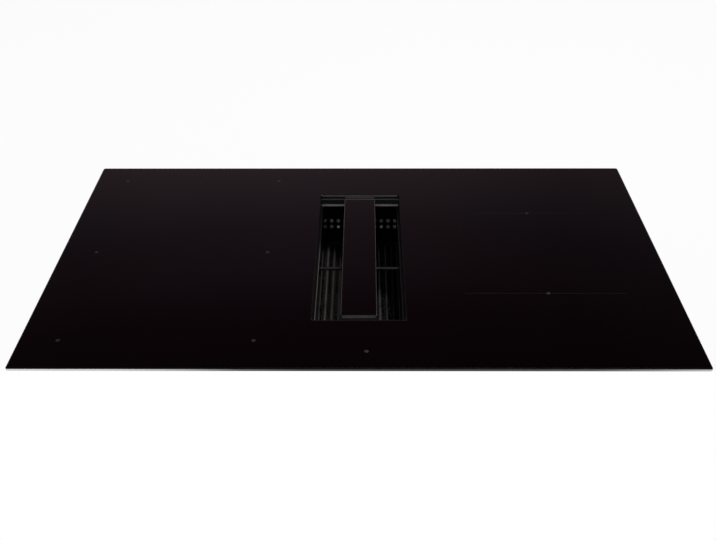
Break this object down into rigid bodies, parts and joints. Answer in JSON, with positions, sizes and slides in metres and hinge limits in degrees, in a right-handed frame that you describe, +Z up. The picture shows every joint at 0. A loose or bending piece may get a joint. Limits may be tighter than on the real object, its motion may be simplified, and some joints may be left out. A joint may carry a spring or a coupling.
{
  "type": "downdraft induction cooktop",
  "caption": "Frameless black glass induction hob with a central extractor opening, lift-out cover strip and filter basket, and a blower with a rear flat-duct outlet below.",
  "frame": {"origin": "on the plane under the blower and the air cavity, below the middle of the glass plate", "axes": "+X to the right along the glass plate, +Y to the rear (towards the duct outlet), +Z up"},
  "size_m": [0.83, 0.52, 0.21],
  "materials": {
    "black_glass": "polished black glass ceramic",
    "foam_rubber": "closed-cell foam",
    "galvanised_steel": "galvanised sheet",
    "black_plastic": "moulded, fine texture",
    "grey_plastic": "moulded, satin",
    "dark_steel": "dark coated steel",
    "spring_steel": "spring steel",
    "bearing_steel": "ground",
    "aluminium": "mill finish",
    "copper_winding": "enamelled copper",
    "mica": "pressed mica",
    "ceramic_white": "bare ceramic",
    "circuit_board": "solder mask"
  },
  "bodies": {
    "root": {"glass_panel": "black_glass", "perimeter_seal": "foam_rubber", "cavity_gasket": "foam_rubber", "window_gasket": "foam_rubber", "plenum_gasket": "foam_rubber", "hob_casing": "galvanised_steel", "air_cavity": "black_plastic", "inlet_plenum": "black_plastic", "scroll_lower": "black_plastic", "scroll_upper": "black_plastic", "outlet_duct": "black_plastic", "terminal_box": "black_plastic", "terminal_cover": "black_plastic", "cable_gland": "black_plastic", "inlet_ring": "grey_plastic", "touch_board_bracket": "grey_plastic", "left_coil_tray": "aluminium", "right_coil_tray": "aluminium", "touch_board": "circuit_board", "filter_board": "circuit_board", "mica_sheet_left": "mica", "mica_sheet_right": "mica", "terminal_block": "ceramic_white", "motor_stator": "copper_winding", "motor_bearing_lower": "bearing_steel", "motor_bearing_upper": "bearing_steel", "heat_sink_left": "aluminium", "power_board_left": "circuit_board", "cooling_fan_frame_left": "black_plastic", "spring_clip_left_front": "spring_steel", "coil_front_left": "copper_winding", "coil_carrier_front_left": "grey_plastic", "pan_sensor_front_left": "ceramic_white", "spring_clip_left_rear": "spring_steel", "coil_rear_left": "copper_winding", "coil_carrier_rear_left": "grey_plastic", "pan_sensor_rear_left": "ceramic_white", "heat_sink_right": "aluminium", "power_board_right": "circuit_board", "cooling_fan_frame_right": "black_plastic", "spring_clip_right_front": "spring_steel", "coil_front_right": "copper_winding", "coil_carrier_front_right": "grey_plastic", "pan_sensor_front_right": "ceramic_white", "spring_clip_right_rear": "spring_steel", "coil_rear_right": "copper_winding", "coil_carrier_rear_right": "grey_plastic", "pan_sensor_rear_right": "ceramic_white"},
    "cover_strip": {"cover_strip_glass": "black_glass", "cover_strip_carrier": "dark_steel"},
    "filter_basket": {"filter_basket": "dark_steel", "basket_handle": "dark_steel", "grease_mesh": "aluminium"},
    "drip_tray": {"drip_tray": "grey_plastic"},
    "blower_wheel": {"impeller": "black_plastic", "rotor_can": "bearing_steel", "motor_shaft": "bearing_steel"},
    "cooling_fan_left": {"cooling_fan_rotor_left": "black_plastic"},
    "cooling_fan_right": {"cooling_fan_rotor_right": "black_plastic"},
    "nonreturn_flap": {"nonreturn_flap": "grey_plastic"}
  },
  "joints": [
    {"name": "drip_tray_lift", "type": "slide", "parent": "root", "child": "drip_tray", "axis": [0, 0, 1], "range_m": [0, 0.22]},
    {"name": "basket_lift", "type": "slide", "parent": "drip_tray", "child": "filter_basket", "axis": [0, 0, 1], "range_m": [0, 0.12]},
    {"name": "strip_lift", "type": "slide", "parent": "filter_basket", "child": "cover_strip", "axis": [0, 0, 1], "range_m": [0, 0.1]},
    {"name": "blower_spin", "type": "hinge", "parent": "root", "child": "blower_wheel", "pos_m": [0.215, -0.05, 0.03], "axis": [0, 0, 1], "continuous": true},
    {"name": "cooling_fan_left_spin", "type": "hinge", "parent": "root", "child": "cooling_fan_left", "pos_m": [-0.205, 0.15, 0.163], "axis": [0, 0, 1], "continuous": true},
    {"name": "cooling_fan_right_spin", "type": "hinge", "parent": "root", "child": "cooling_fan_right", "pos_m": [0.205, 0.15, 0.163], "axis": [0, 0, 1], "continuous": true},
    {"name": "flap_swing", "type": "hinge", "parent": "root", "child": "nonreturn_flap", "pos_m": [0.2565, 0.152, 0.0825], "axis": [1, 0, 0], "range_deg": [0, 70]}
  ]
}
